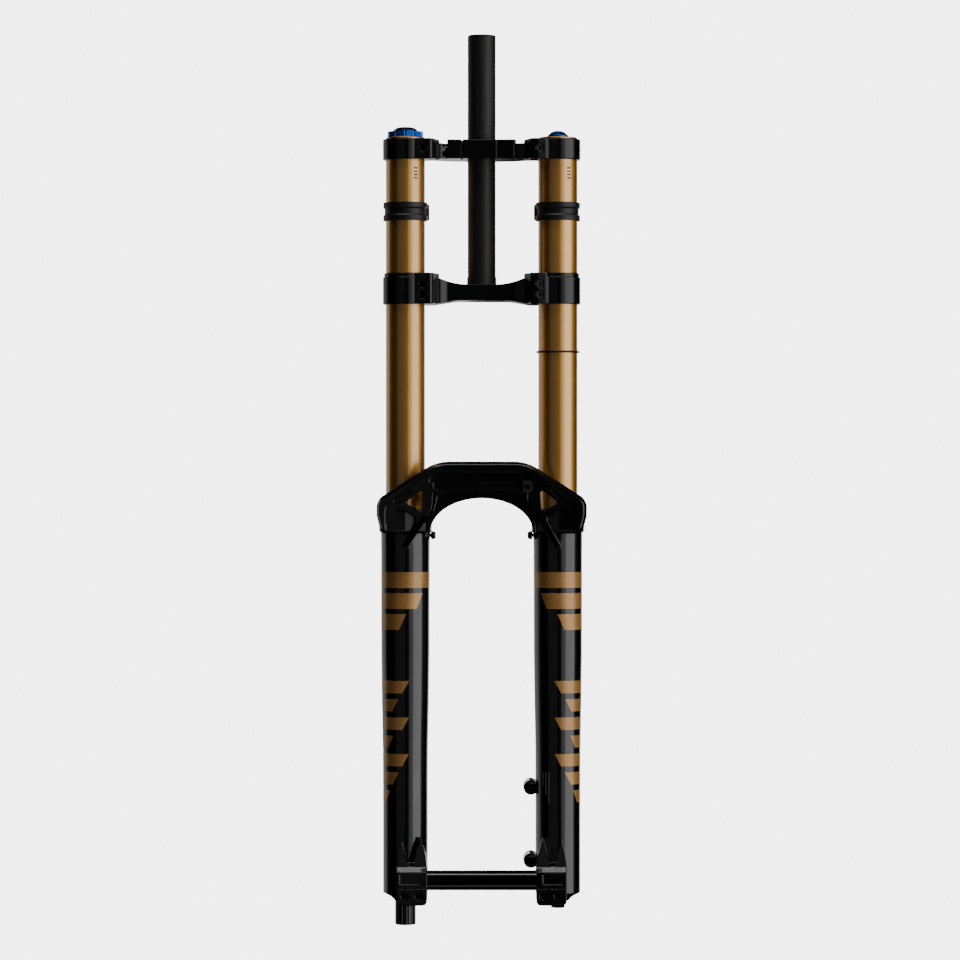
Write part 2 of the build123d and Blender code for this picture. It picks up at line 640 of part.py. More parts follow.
def wiper_seal(side):
    """Rubber wiper pressed into the top of one leg."""
    seat_r = WIPER_SEAT_R
    lip_r = STANCHION_R + LIP_GAP
    flange_r = RING_R + ARCH_CROWN_GAP - FREE_GAP
    seal = lathe([
        (lip_r, WIPER_TOP), (lip_r + 1.6, WIPER_TOP), (lip_r + 2.6, COLLAR_TOP + 1.2),
        (flange_r, COLLAR_TOP + 0.9), (flange_r, COLLAR_TOP), (seat_r, COLLAR_TOP),
        (seat_r, COLLAR_TOP - WIPER_DEPTH), (lip_r + 1.6, COLLAR_TOP - WIPER_DEPTH),
        (lip_r + 1.6, COLLAR_TOP - 5), (lip_r, COLLAR_TOP - 4),
    ], side * LEG_X, LEG_Y)
    return seal - garter(side)


def leg_body():
    """Outside of one leg as a solid of revolution."""
    collar_low = COLLAR_TOP - COLLAR_H
    return lathe([
        (0, COLLAR_TOP), (COLLAR_R - 0.8, COLLAR_TOP), (COLLAR_R, COLLAR_TOP - 0.8), (COLLAR_R, collar_low),
        (LEG_TOP_R + 0.2, collar_low - 2), (LEG_TOP_R, collar_low - 30),
        (LEG_TOP_R - 0.2, AXLE_Z + 230), (LEG_TOP_R - 0.8, AXLE_Z + 180),
        (LEG_LOW_R + 0.2, AXLE_Z + 130), (LEG_LOW_R, AXLE_Z + 80),
        (LEG_LOW_R, AXLE_Z - 15.1), (LEG_LOW_R - 8.1, AXLE_Z - 19.5), (COVER_R + 0.1, LEG_BOTTOM),
        (0, LEG_BOTTOM),
    ], LEG_X, LEG_Y)


def leg_bore():
    """Everything bored out of one leg."""
    change = STANCHION_LOW - 12
    cut = rod(LEG_BORE_R, change, COLLAR_TOP + 1, LEG_X, LEG_Y)
    cut += rod(LEG_LOW_BORE_R, FLOOR_Z, change + 1, LEG_X, LEG_Y)
    cut += rod(WIPER_SEAT_R, COLLAR_TOP - WIPER_DEPTH - FOAM_H, COLLAR_TOP + 1, LEG_X, LEG_Y)
    return cut + rod(FOOT_HOLE_D / 2, LEG_BOTTOM - 1, FLOOR_Z + 1, LEG_X, LEG_Y)


ARCH_BEVEL = 5.0
ARCH_EDGE = 1.5
RIM_PROUD = 4.0
WEB_THICK = 7.5
LIP_BEHIND = 8.5
LEG_INNER = LEG_X - LEG_TOP_R
COLLAR_LOW = COLLAR_TOP - COLLAR_H


def arch_outline():
    """Corners and corner radii of the arch seen from the front, from one shoulder over to the other."""
    edge = both_ways([
        (LEG_INNER + 2, COLLAR_LOW), (ARCH_HALF_W - 4.2, COLLAR_LOW), (ARCH_HALF_W, COLLAR_TOP - 4),
        (ARCH_HALF_W, ARCH_TOP - 38.5), (LEG_X - 32, ARCH_TOP),
    ])
    radii = [1.0, 3.0, 14.0, 19.0, 44.0]
    return edge, radii + radii[::-1]


def arch_blank():
    """The arch's full outline as one block, bevelled at the front."""
    edge, radii = arch_outline()
    bevel_from = ARCH_FRONT + ARCH_BEVEL
    blank = front_slab(edge, ARCH_BACK, bevel_from, radii)
    front = front_slab(edge, bevel_from, ARCH_FRONT, radii, taper=32)
    return blank + fillet(front.edges().group_by(Axis.Y)[0], ARCH_EDGE)


def arch_opening():
    """Hole in the front layer of the arch, over the wheel."""
    edge = both_ways([
        (LEG_INNER + 2, COLLAR_LOW - 9), (LEG_INNER - 1.5, ARCH_TOP - 60), (LEG_X - 33, ARCH_TOP - 33.0),
        (LEG_X - 46.5, ARCH_TOP - 28.0),
    ])
    radii = [1.0, 30.0, 9.0, 40.0]
    return front_slab(edge, ARCH_BACK + LIP_BEHIND + 1, ARCH_FRONT - 1, radii + radii[::-1])


def arch_lip():
    """Thin curved lip behind the opening, lower than the front layer's edge."""
    drop = ARCH_TOP - 37.0
    width = LEG_INNER - 0.8
    clear = extrude(Pos(0, ARCH_BACK + LIP_BEHIND + 1, 0) * (Plane.XZ * Pos(0, drop - 35) * Ellipse(width, 35)),
                    amount=30, dir=(0, -1, 0))
    edge = both_ways([
        (LEG_INNER + 2, COLLAR_LOW - 2), (LEG_INNER + 1, ARCH_TOP - 60), (LEG_X - 31.5, ARCH_TOP - 31.0),
        (LEG_X - 46.5, ARCH_TOP - 26.0),
    ])
    radii = [1.0, 30.0, 9.0, 40.0]
    lip = front_slab(edge, ARCH_BACK, ARCH_BACK - WEB_THICK, radii + radii[::-1])
    behind = front_slab(edge, ARCH_BACK + LIP_BEHIND, ARCH_BACK, radii + radii[::-1])
    behind &= box(-LEG_X + 39.5, LEG_X - 39.5, ARCH_BACK - 1, ARCH_BACK + LIP_BEHIND, ARCH_TOP - 60, ARCH_TOP)
    return lip + behind - clear


def arch_window():
    """Three-cornered hole over one leg that shows the stanchion."""
    corners = [(LEG_X - 18.5, ARCH_TOP - 27.5), (LEG_X, ARCH_TOP - 41.5), (LEG_X - 17, ARCH_TOP - 50.5)]
    return front_slab(corners, ARCH_BACK + 1, ARCH_FRONT - 1, 2.0)


def arch_recess():
    """Hooded recess in front of one leg's collar."""
    edge = [
        (LEG_X - 11.5, COLLAR_LOW + 0.8), (LEG_X - 11.5, COLLAR_TOP - 5.5), (LEG_X + 4, COLLAR_TOP + 4.0), (LEG_X + 8.5, COLLAR_TOP + 2.5),
        (LEG_X + 19, COLLAR_TOP - 13), (LEG_X + 19, COLLAR_LOW + 0.8),
    ]
    return front_slab(edge, LEG_Y - COLLAR_R - 0.6, ARCH_FRONT - 1, [1.0, 2.0, 4.0, 4.0, 4.0, 1.0])


def arch_hollows():
    """What is taken out of the arch's front: the step inside the rim, the pocket and the webs' hollows."""
    rim = both_ways([
        (LEG_X - 47.5, COLLAR_LOW - 20), (ARCH_HALF_W - 8.5, COLLAR_LOW - 20), (ARCH_HALF_W - 8.5, ARCH_TOP - 44.5),
        (LEG_X - 24.5, ARCH_TOP - 11.0), (LEG_X - 31.5, ARCH_TOP - 10.0),
    ])
    radii = [1.0, 1.0, 14.0, 12.0, 8.0]
    cut = front_slab(rim, ARCH_FRONT + RIM_PROUD, ARCH_FRONT - 1, radii + radii[::-1])
    pocket = both_ways([
        (LEG_X - 44.5, ARCH_TOP - 21.0), (LEG_X - 31.5, ARCH_TOP - 30.0), (LEG_X - 24, ARCH_TOP - 19.0), (LEG_X - 29.5, ARCH_TOP - 11.5),
    ])
    radii = [14.0, 3.0, 3.0, 4.0]
    cut += front_slab(pocket, ARCH_BACK - WEB_THICK, ARCH_FRONT - 1, radii + radii[::-1])
    beside = [(LEG_X - 13.5, ARCH_TOP - 22.5), (LEG_X + 12.5, ARCH_TOP - 40.0), (LEG_X + 6.5, ARCH_TOP - 43.0), (LEG_X, ARCH_TOP - 38.0)]
    cut += front_slab(beside, ARCH_BACK - WEB_THICK, ARCH_FRONT - 1, 1.5)
    return cut


def inner_slope():
    """Wedge taken off the arch's face between one strut and the opening, so it runs out onto the leg."""
    face = [
        (LEG_INNER - 6, COLLAR_LOW - 1), (LEG_INNER - 6, ARCH_TOP - 30), (LEG_X - 24, ARCH_TOP - 34.0),
        (LEG_X - 19.5, ARCH_TOP - 52.0), (LEG_X - 3.5, COLLAR_LOW - 1),
    ]
    leg_front = LEG_Y - LEG_TOP_R
    side = [
        (ARCH_FRONT - 1, ARCH_TOP - 30), (ARCH_FRONT + RIM_PROUD, ARCH_TOP - 31),
        (ARCH_BACK - 8, ARCH_TOP - 50), (leg_front - 1.5, COLLAR_LOW - 2), (ARCH_FRONT - 1, COLLAR_LOW - 2),
    ]
    return front_slab(face, LEG_Y, ARCH_FRONT - 2, [1, 1, 6, 6, 1]) & side_slab(side, LEG_X - 37.5, LEG_X + 12.5)


def strut():
    """Rib from the arch's inner corner down across the front of one leg."""
    edge = [
        (LEG_X - 29, ARCH_TOP - 21.0), (LEG_X - 19.5, ARCH_TOP - 21.0), (LEG_X - 17, ARCH_TOP - 50.0), (LEG_X + 2.8, COLLAR_LOW - 15.0),
        (LEG_X - 1.5, COLLAR_LOW - 18.0), (LEG_X - 21, COLLAR_TOP - 9.0), (LEG_X - 27.5, COLLAR_TOP + 4.0),
    ]
    front = front_slab(edge, LEG_Y, ARCH_FRONT, [1.0, 3.0, 10.0, 1.8, 1.8, 10.0, 14.0])
    near = ARCH_FRONT + RIM_PROUD
    leg_front = LEG_Y - LEG_TOP_R
    side = [
        (ARCH_BACK, ARCH_TOP), (near, ARCH_TOP), (near, COLLAR_TOP - 4), (leg_front - 2.2, COLLAR_LOW - 17),
        (leg_front + 6, COLLAR_LOW - 19), (leg_front + 6, COLLAR_TOP - 1), (ARCH_BACK, COLLAR_TOP - 1),
    ]
    return front & side_slab(side, LEG_X - 37.5, LEG_X + 12.5)


def shoulder():
    """Shelf that joins one end of the arch to the collar behind it."""
    plan = [
        (LEG_INNER + 1, ARCH_BACK - 4), (LEG_X, ARCH_BACK - 9), (ARCH_HALF_W - 3, ARCH_BACK - 9),
        (ARCH_HALF_W, ARCH_BACK + 2), (LEG_X + COLLAR_R - 0.2, LEG_Y - 3), (LEG_X, LEG_Y), (LEG_INNER + 0.5, LEG_Y - 3),
    ]
    shelf = plan_slab(plan, COLLAR_LOW, COLLAR_TOP, [4.0, 1.0, 3.0, 8.0, 4.0, 1.0, 1.0])
    edge, radii = arch_outline()
    return shelf & front_slab(edge, LEG_Y, ARCH_FRONT, radii)


BLEEDER_SPOT_R = 4.8          # flat the button sinks towards


def bleeder_boss():
    """Boss round one air bleeder."""
    return rod_x(4.4, BLEEDER_FACE, LEG_X - 18, BLEEDER_Y, BLEEDER_Z)


BLOCK_IN = HUB_GAP / 2
BLOCK_OUT = BLOCK_IN + DROPOUT_W
BLOCK_FACE = AXLE_Y - AXLE_D / 2 - DROPOUT_FRONT_WALL
BLOCK_FOOT = AXLE_Z - AXLE_D / 2 - DROPOUT_LOW_WALL
SHOULDER_Z = AXLE_Z + AXLE_D / 2 + DROPOUT_TOP_WALL
AXLE_BOLT_Z = AXLE_Z - AXLE_D / 2 - AXLE_BOLT_D / 2 - 2.1
AXLE_BOLT_X = (BLOCK_IN + 7.7, BLOCK_OUT - 8.3)
AXLE_HEAD_D = 8.5
AXLE_HEAD_H = 4.0


def dropout_block():
    """Clamp block ahead of one leg's foot, with the ribs that run up onto the leg."""
    face = [(BLOCK_IN, AXLE_Z + 20), (BLOCK_OUT, AXLE_Z + 20), (BLOCK_OUT, BLOCK_FOOT), (BLOCK_IN, BLOCK_FOOT)]
    side = [
        (LEG_Y - 4, AXLE_Z + 19), (AXLE_Y - 7, AXLE_Z + 14.5), (BLOCK_FACE, SHOULDER_Z),
        (BLOCK_FACE, BLOCK_FOOT + 2), (BLOCK_FACE + 2, BLOCK_FOOT), (LEG_Y - 12, BLOCK_FOOT),
        (LEG_Y - 12, BLOCK_FOOT + 7), (LEG_Y - 4, BLOCK_FOOT + 12),
    ]
    block = front_slab(face, LEG_Y - 4, BLOCK_FACE - 1, [1.0, 1.0, 5.0, 5.0])
    block &= side_slab(side, BLOCK_IN - 1, BLOCK_OUT + 1)
    foot = AXLE_Z + 11
    outer_rib = [(BLOCK_OUT, foot), (BLOCK_OUT - 1.5, foot + 14), (BLOCK_OUT - 4.7, foot + 27),
                 (BLOCK_OUT - 11.3, foot + 3), (BLOCK_OUT - 11.3, foot)]
    inner_rib = [(BLOCK_IN, foot), (BLOCK_IN + 14.2, foot), (BLOCK_IN + 14.2, foot + 3),
                 (BLOCK_IN + 7.0, foot + 31), (BLOCK_IN + 1.5, foot + 14)]
    slope = [(LEG_Y - 4, foot), (BLOCK_FACE + 4, foot), (LEG_Y - LEG_LOW_R - 0.6, foot + 31), (LEG_Y - 4, foot + 31)]
    ribs = front_slab(outer_rib, LEG_Y - 4, BLOCK_FACE) + front_slab(inner_rib, LEG_Y - 4, BLOCK_FACE)
    return block + (ribs & side_slab(slope, BLOCK_IN - 1, BLOCK_OUT + 1))


def dropout_cuts():
    """Axle bore, slit, bolt holes and face details of one dropout."""
    cuts = rod_x(AXLE_D / 2 + RUNNING, BLOCK_IN - 1, BLOCK_OUT + 1, AXLE_Y, AXLE_Z)
    cuts += rod_x(AXLE_D / 2 + FREE_GAP, BLOCK_OUT, LEG_X + LEG_TOP_R, AXLE_Y, AXLE_Z)
    slit_y = (AXLE_Y - DROPOUT_SLIT / 2, AXLE_Y + DROPOUT_SLIT / 2)
    cuts += box(BLOCK_IN - 1, BLOCK_OUT + 1, *slit_y, BLOCK_FOOT - 1, AXLE_Z)
    for x in AXLE_BOLT_X:
        cuts += rod_y(AXLE_BOLT_D / 2, BLOCK_FACE - 1, BLOCK_FACE + 26.0, x, AXLE_BOLT_Z)
        cuts += rod_y(AXLE_HEAD_D / 2, BLOCK_FACE - 1, BLOCK_FACE + AXLE_HEAD_H, x, AXLE_BOLT_Z)
    panel = [(BLOCK_IN + 6.5, AXLE_Z - 3.2), (BLOCK_OUT - 3.0, AXLE_Z - 3.2),
             (BLOCK_OUT - 3.0, SHOULDER_Z - 1.4), (BLOCK_IN + 6.5, SHOULDER_Z - 1.4)]
    cuts += front_slab(panel, BLOCK_FACE + 0.8, BLOCK_FACE - 1, 1.5)
    return cuts + box(BLOCK_IN - 1, BLOCK_OUT + 1, BLOCK_FACE - 1, BLOCK_FACE + 0.7, AXLE_Z - 7.6, AXLE_Z - 6.8)


BRAKE_X = LEG_X - BRAKE_POST_INBOARD
BRAKE_FACE = AXLE_Y + BRAKE_FACE_BEHIND_AXLE
BRAKE_HEIGHTS = [AXLE_Z + BRAKE_LOW_ABOVE_AXLE + BRAKE_BOLT_SPACING * i for i in range(2)]
BRAKE_HOLE_DEPTH = 16.0


def brake_posts():
    """Two posts behind the air leg that carry the brake caliper."""
    posts = None
    for z in BRAKE_HEIGHTS:
        post = rod_y(BRAKE_POST_R, LEG_Y - 4, BRAKE_FACE, BRAKE_X, z)
        web = [(BRAKE_X - 2, LEG_Y - 6), (BRAKE_X, BRAKE_FACE - 3), (BRAKE_X + 5, BRAKE_FACE - 3),
               (LEG_X - 3, LEG_Y + LEG_LOW_R - 3), (LEG_X - 3, LEG_Y - 6)]
        post += plan_slab(web, z - 4.5, z + 4.5)
        posts = post if posts is None else posts + post
    return posts


def brake_holes():
    """Threaded holes of the brake posts, at their tapping size's crest."""
    low, high = BRAKE_HEIGHTS
    hole = rod_y(BRAKE_BOLT_D / 2, BRAKE_FACE - BRAKE_HOLE_DEPTH, BRAKE_FACE + 1, BRAKE_X, low)
    return hole + rod_y(BRAKE_BOLT_D / 2, BRAKE_FACE - BRAKE_HOLE_DEPTH, BRAKE_FACE + 1, BRAKE_X, high)


HOSE_X = LEG_X - 31.5
HOSE_Z = ARCH_TOP - 25.0
HOSE_FACE = ARCH_FRONT + RIM_PROUD
HOSE_BOLT_D = 3.0


def lower_casting():
    """Both legs, the arch, the dropouts and the brake posts, cast as one piece."""
    half = leg_body() + shoulder() + strut() + bleeder_boss() + dropout_block()
    span = arch_blank() - arch_opening()
    span -= arch_hollows()
    for cut in (arch_window(), arch_recess(), inner_slope()):
        span -= cut
        span -= mirrored(cut)
    span += arch_lip()
    half += span & box(0, ARCH_HALF_W + 5, ARCH_FRONT - 5, 0, COLLAR_LOW - 40, 0)
    half -= leg_bore()
    half -= dropout_cuts()
    half -= rod_x(BLEEDER_HOLE_R, BLEEDER_FACE - 1, LEG_X, BLEEDER_Y, BLEEDER_Z)
    half -= rod_x(BLEEDER_SPOT_R, BLEEDER_TIP, BLEEDER_FACE, BLEEDER_Y, BLEEDER_Z)
    casting = half + mirrored(half)
    casting += brake_posts() - leg_bore() - rod(LEG_LOW_R - 1, AXLE_Z, AXLE_Z + 150, LEG_X, LEG_Y)
    casting -= brake_holes()
    return casting - rod_y(HOSE_BOLT_D / 2, HOSE_FACE - 1, ARCH_BACK - 3, HOSE_X, HOSE_Z)


def hose_guide():
    """Small clip on the arch that the brake hose runs through."""
    edge = [(HOSE_X - 5, HOSE_Z - 6), (HOSE_X + 5, HOSE_Z - 6), (HOSE_X + 5, HOSE_Z + 6), (HOSE_X - 5, HOSE_Z + 6)]
    clip = front_slab(edge, HOSE_FACE, HOSE_FACE - 4.5, 2.0)
    clip -= rod(2.1, HOSE_Z - 10, HOSE_Z + 10, HOSE_X - 5.0, HOSE_FACE - 2.6)
    return clip - rod_y(HOSE_BOLT_D / 2, HOSE_FACE - 6, HOSE_FACE + 1, HOSE_X + 0.6, HOSE_Z)


def hose_guide_screw():
    """Screw that holds the hose guide to the arch."""
    screw = socket_bolt(5.4, 2.0, HOSE_BOLT_D, 12.0, 2.0)
    return Pos(HOSE_X + 0.6, HOSE_FACE - 6.5, HOSE_Z) * Rot(X=90) * screw


def axle_pinch_bolts():
    """Two bolts across each dropout's slit."""
    one = Rot(X=90) * socket_bolt(AXLE_HEAD_D - 0.2, AXLE_HEAD_H, AXLE_BOLT_D, 26.0, 4.0)
    return Compound([Pos(side * x, BLOCK_FACE, AXLE_BOLT_Z) * one for side in (-1, 1) for x in AXLE_BOLT_X])


AXLE_END = BLOCK_OUT - 1.5


def axle():
    """Hollow axle, closed at the end with the hexagon socket."""
    bar = rod_x(AXLE_D / 2, -AXLE_END, AXLE_END, AXLE_Y, AXLE_Z)
    bar = chamfer(bar.edges().filter_by(GeomType.CIRCLE), 1.0)
    bar -= rod_x(AXLE_D / 2 - AXLE_WALL, -AXLE_END + 14, AXLE_END + 1, AXLE_Y, AXLE_Z)
    socket = Pos(-AXLE_END - 1, AXLE_Y, AXLE_Z) * Rot(Y=90) * hexagon(6.0, 0, 10)
    return bar - socket


def air_bleeder(side):
    """Domed push button with a stem that lets trapped air out of one leg."""
    face = BLEEDER_FACE - 1.6
    head = rod_x(4.2, BLEEDER_TIP, face, 0, 0)
    rims = head.edges().filter_by(GeomType.CIRCLE).sort_by(Axis.X)
    head = fillet(rims[0], 2.6)
    head = fillet(head.edges().filter_by(GeomType.CIRCLE).sort_by(Axis.X)[-1], 1.4) + rod_x(BLEEDER_HOLE_R - 0.2, face - 0.5, LEG_X - LEG_BORE_R - 2.4, 0, 0)
    button = Pos(0, BLEEDER_Y, BLEEDER_Z) * head
    return button if side > 0 else mirrored(button)


# ---------------------------------------------------------------- under the legs

COVER_R = 10.6
COVER_WALL = 1.4
COVER_TOP = LEG_BOTTOM - 0.2
COVER_LOW = AXLE_Z - 48.1
FLUTES = 14


def crush_washers():
    """Soft washers that seal both feet."""
    left = ring(8.6, FOOT_HOLE_D / 2, LEG_BOTTOM - 1.2, LEG_BOTTOM, -LEG_X, LEG_Y)
    return Compound([left, ring(8.6, 3.5, LEG_BOTTOM - 1.2, LEG_BOTTOM, LEG_X, LEG_Y)])


def damper_foot_nut():
    """Nut that holds the damper shaft in its leg."""
    nut = hexagon(15.0, LEG_BOTTOM - 7.0, LEG_BOTTOM - 1.2, -LEG_X, LEG_Y)
    return nut - rod(FOOT_HOLE_D / 2 - 0.5, LEG_BOTTOM - 8, LEG_BOTTOM, -LEG_X, LEG_Y)


def air_foot_nut():
    """Nut that holds the air shaft in its leg."""
    nut = hexagon(12.0, LEG_BOTTOM - 7.4, LEG_BOTTOM - 1.2, LEG_X, LEG_Y)
    return nut - rod(3.5, LEG_BOTTOM - 8, LEG_BOTTOM, LEG_X, LEG_Y)


def high_speed_rebound_knob():
    """Knurled ring knob under the damper leg."""
    low, high = SHAFT_STUD_LOW - 6.2, SHAFT_STUD_LOW - 0.8
    knob = rod(7.0, low, high, -LEG_X, LEG_Y)
    for i in range(10):
        angle = radians(36 * i)
        knob -= rod(0.8, low - 1, high + 1, -LEG_X + 7.2 * cos(angle), LEG_Y + 7.2 * sin(angle))
    return knob - rod(3.0 + LIP_GAP, low - 1, high + 1, -LEG_X, LEG_Y)


def low_speed_rebound_knob():
    """Small knob on the rod through the damper shaft's foot."""
    low, high = SHAFT_STUD_LOW - 12.6, SHAFT_STUD_LOW - 7.6
    knob = rod(4.6, low, high, -LEG_X, LEG_Y) + rod(1.4, high - 1, SHAFT_STUD_LOW + 4, -LEG_X, LEG_Y)
    for i in range(8):
        angle = radians(45 * i)
        knob -= rod(0.7, low - 1, high + 1, -LEG_X + 4.8 * cos(angle), LEG_Y + 4.8 * sin(angle))
    return knob


def rebound_cover():
    """Fluted cover over the rebound knobs."""
    cover = rod(COVER_R, COVER_LOW, COVER_TOP, -LEG_X, LEG_Y)
    cover = fillet(cover.edges().sort_by(Axis.Z)[0], 1.6)
    for i in range(FLUTES):
        angle = radians(360 / FLUTES * i)
        cover -= rod(1.1, COVER_LOW - 1, COVER_TOP - 3, -LEG_X + (COVER_R + 0.5) * cos(angle),
                     LEG_Y + (COVER_R + 0.5) * sin(angle))
    return cover - rod(COVER_R - COVER_WALL, COVER_LOW + 2, COVER_TOP + 1, -LEG_X, LEG_Y)


def main():
    """Build every sub-part and write it."""
    os.makedirs("parts", exist_ok=True)
    makers = (
        steerer_tube, upper_crown, steerer_pinch_bolts, lower_crown, damper_top_cap, air_top_cap,
        air_valve, high_speed_compression_ring, low_speed_compression_dome, air_valve_cap, travel_o_ring,
        damper_cartridge_tube, compression_valve, damper_seal_head, air_seal_head, retaining_rings,
        volume_spacers, damper_shaft, damper_piston, air_shaft, air_piston, air_piston_seal, piston_nuts,
        top_out_bumper, bottom_out_bumper, foam_rings, lower_casting, hose_guide, hose_guide_screw,
        axle_pinch_bolts, axle, crush_washers, damper_foot_nut, air_foot_nut, high_speed_rebound_knob,
        low_speed_rebound_knob, rebound_cover,
    )
    for maker in makers:
        save(maker(), maker.__name__)
    save(clamp_bolts(UPPER_BOLTS), "upper_crown_pinch_bolts")
    save(clamp_bolts(LOWER_BOLTS), "lower_crown_pinch_bolts")
    save(bushings(BUSHING_TOPS[0]), "upper_bushings")
    save(bushings(BUSHING_TOPS[1]), "lower_bushings")
    save(stanchion(-LEG_X), "damper_stanchion")
    save(stanchion(LEG_X), "air_stanchion")
    for side, name in ((-1, "right"), (1, "left")):
        save(frame_bumper(side), f"frame_bumper_{name}")
        save(wiper_seal(side), f"wiper_seal_{name}")
        save(garter(side), f"wiper_garter_spring_{name}")
        save(air_bleeder(side), f"air_bleeder_{name}")


main()
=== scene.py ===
"""Looks of a dual-crown downhill suspension fork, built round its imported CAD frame."""

import bmesh
import bpy
import json
from math import cos, pi, radians, sin
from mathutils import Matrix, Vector


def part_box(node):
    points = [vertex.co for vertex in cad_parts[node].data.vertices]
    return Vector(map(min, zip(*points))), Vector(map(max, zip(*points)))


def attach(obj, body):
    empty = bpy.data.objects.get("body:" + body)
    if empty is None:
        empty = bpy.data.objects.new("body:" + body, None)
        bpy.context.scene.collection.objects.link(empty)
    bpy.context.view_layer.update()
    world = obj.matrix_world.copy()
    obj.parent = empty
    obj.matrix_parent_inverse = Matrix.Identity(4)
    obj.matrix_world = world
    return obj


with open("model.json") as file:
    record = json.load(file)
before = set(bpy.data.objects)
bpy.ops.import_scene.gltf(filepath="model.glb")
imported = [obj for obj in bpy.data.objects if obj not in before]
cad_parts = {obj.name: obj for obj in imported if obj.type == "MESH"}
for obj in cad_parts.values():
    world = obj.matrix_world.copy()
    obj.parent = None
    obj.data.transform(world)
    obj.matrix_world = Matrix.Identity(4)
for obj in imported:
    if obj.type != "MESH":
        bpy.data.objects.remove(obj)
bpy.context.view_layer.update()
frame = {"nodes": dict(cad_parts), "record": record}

MM = 0.001
STANCHION = [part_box("air_stanchion")[i] for i in range(2)]
LEG_X = (STANCHION[0][0] + STANCHION[1][0]) / 2
LEG_Y = (STANCHION[0][1] + STANCHION[1][1]) / 2
STANCHION_R = (STANCHION[1][0] - STANCHION[0][0]) / 2
AXLE_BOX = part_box("axle")
AXLE_Z = (AXLE_BOX[0][2] + AXLE_BOX[1][2]) / 2
SIDES = {"right": -1, "left": 1}


# ---------------------------------------------------------------- materials

def linear(code):
    """sRGB hex to linear RGBA."""
    values = [int(code[i:i + 2], 16) / 255 for i in (1, 3, 5)]
    return [v / 12.92 if v <= 0.04045 else ((v + 0.055) / 1.055) ** 2.4 for v in values] + [1.0]


def add(tree, kind, inputs=(), **settings):
    """Add a node, set its properties, and fill its sockets with values or links."""
    made = tree.nodes.new(kind)
    for key, value in settings.items():
        setattr(made, key, value)
    for key, value in dict(inputs).items():
        if isinstance(value, bpy.types.NodeSocket):
            tree.links.new(value, made.inputs[key])
        else:
            made.inputs[key].default_value = value
    return made


def finish_of(name, colour, roughness, metallic=0.0, coat=0.0, coat_roughness=0.03, ior=1.5):
    """New material with a Principled shader on it, and its object coordinates."""
    material = bpy.data.materials.new(name)
    material.use_nodes = True
    tree = material.node_tree
    tree.nodes.clear()
    shader = add(tree, "ShaderNodeBsdfPrincipled", {
        "Base Color": linear(colour), "Roughness": roughness, "Metallic": metallic, "IOR": ior,
        "Coat Weight": coat, "Coat Roughness": coat_roughness})
    add(tree, "ShaderNodeOutputMaterial", {"Surface": shader.outputs[0]})
    place = add(tree, "ShaderNodeTexCoord").outputs["Object"]
    return material, tree, shader, place


def grain(tree, place, size_mm, stretch=(1, 1, 1), detail=3.0):
    """Noise whose lumps are size_mm across, drawn out along an axis by stretch."""
    mapped = add(tree, "ShaderNodeMapping", {"Vector": place, "Scale": stretch})
    return add(tree, "ShaderNodeTexNoise",
               {"Vector": mapped.outputs[0], "Scale": 1 / (size_mm * MM), "Detail": detail}).outputs["Fac"]


def ranged(tree, value, low, high, start=0.3, end=0.7):
    """Spread a 0 to 1 pattern between two values."""
    return add(tree, "ShaderNodeMapRange", {
        "Value": value, "From Min": start, "From Max": end, "To Min": low, "To Max": high}).outputs[0]


def tinted(tree, shader, value, dark, light):
    """Vary a shader's base colour between two colours by a pattern."""
    ramp = add(tree, "ShaderNodeValToRGB", {"Fac": value})
    ramp.color_ramp.elements[0].color = linear(dark)
    ramp.color_ramp.elements[1].color = linear(light)
    tree.links.new(ramp.outputs["Color"], shader.inputs["Base Color"])


def bumped(tree, shader, height, strength, depth_mm):
    """Give a shader a surface relief."""
    bump = add(tree, "ShaderNodeBump", {"Strength": strength, "Distance": depth_mm * MM, "Height": height})
    tree.links.new(bump.outputs[0], shader.inputs["Normal"])


def eased(tree, shader, height, strength, depth_mm, edge_mm):
    """Give a shader edges rounded by edge_mm and a fine relief over them."""
    rounded = add(tree, "ShaderNodeBevel", {"Radius": edge_mm * MM}, samples=6)
    bump = add(tree, "ShaderNodeBump", {
        "Strength": strength, "Distance": depth_mm * MM, "Height": height, "Normal": rounded.outputs[0]})
    tree.links.new(bump.outputs[0], shader.inputs["Normal"])
    tree.links.new(bump.outputs[0], shader.inputs["Coat Normal"])


def bronze_anodised():
    """Hard-anodised tube: soft warm metal under a clear film that carries the sharper white reflection."""
    material, tree, shader, place = finish_of("bronze_hard_anodised", "#d89f45", 0.46, 1.0, 1.0, 0.13)
    shader.inputs["Coat IOR"].default_value = 1.9
    rings = grain(tree, place, 2.5, (0.02, 0.02, 1.0), 2.0)
    cloud = grain(tree, place, 60.0, (1, 1, 0.4), 2.0)
    tinted(tree, shader, ranged(tree, cloud, 0.0, 1.0), "#d39a40", "#dda44a")
    tree.links.new(ranged(tree, rings, 0.44, 0.48), shader.inputs["Roughness"])
    return material


def black_anodised():
    """Forged and machined aluminium, anodised black: glossy satin with a faint grain, its edges eased."""
    material, tree, shader, place = finish_of("satin_black_anodised", "#070708", 0.2)
    blast = grain(tree, place, 0.9, detail=4.0)
    cloud = grain(tree, place, 35.0)
    tinted(tree, shader, ranged(tree, cloud, 0.0, 1.0), "#050506", "#0a0a0b")
    tree.links.new(ranged(tree, blast, 0.17, 0.24), shader.inputs["Roughness"])
    eased(tree, shader, blast, 0.04, 0.02, 0.9)
    return material


